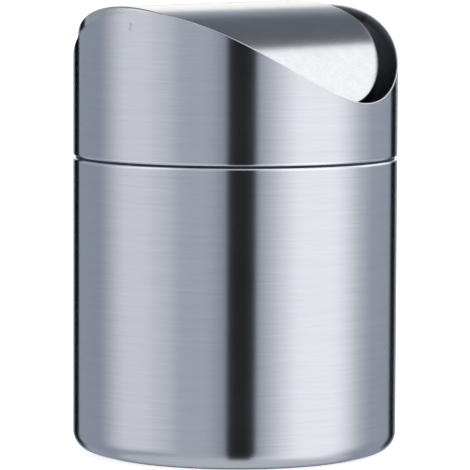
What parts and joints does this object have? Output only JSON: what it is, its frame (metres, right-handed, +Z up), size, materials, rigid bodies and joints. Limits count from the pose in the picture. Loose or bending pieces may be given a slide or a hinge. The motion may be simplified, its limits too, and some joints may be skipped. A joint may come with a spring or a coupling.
{
  "type": "push top countertop bin",
  "caption": "Small round brushed steel countertop bin with a lift-off head, arched sides and a curved push flap that swings between them.",
  "frame": {"origin": "centre of the underside, on the surface that the bin stands on", "axes": "+Z up along the bin's axis, X along the flap's hinge, -Y towards the front edge, which a hand pushes in"},
  "size_m": [0.12, 0.1207, 0.1657],
  "materials": {
    "brushed_body": "fine brushing round the axis",
    "brushed_head": "fine brushing round the axis",
    "flap_steel": "satin, fine speckled grain",
    "base_steel": "mill finish",
    "hinge_steel": "satin, zinc plated",
    "pin_steel": "turned, bright",
    "clip_steel": "spring steel, dull",
    "collar_plastic": "fine moulded texture",
    "bush_nylon": "natural nylon",
    "pad_rubber": "matt, fine texture"
  },
  "bodies": {
    "bin_body": {"body_shell": "brushed_body", "base_plate": "base_steel", "base_pad": "pad_rubber"},
    "head": {"head_shell": "brushed_head", "head_collar": "collar_plastic", "hinge_plate_left": "hinge_steel", "hinge_plate_right": "hinge_steel", "pivot_pin_left": "pin_steel", "pivot_pin_right": "pin_steel", "pivot_spacer_left": "bush_nylon", "pivot_spacer_right": "bush_nylon", "pin_clip_left": "clip_steel", "pin_clip_right": "clip_steel"},
    "flap": {"flap_panel": "flap_steel", "flap_ear_left": "hinge_steel", "flap_ear_right": "hinge_steel", "pivot_bush_left": "bush_nylon", "pivot_bush_right": "bush_nylon"}
  },
  "joints": [
    {"name": "head_lift", "type": "slide", "parent": "bin_body", "child": "head", "axis": [0, 0, 1], "range_m": [0, 0.085]},
    {"name": "flap_swing", "type": "hinge", "parent": "head", "child": "flap", "pos_m": [0, 0.002, 0.1584], "axis": [1, 0, 0], "range_deg": [-86, 70]}
  ]
}
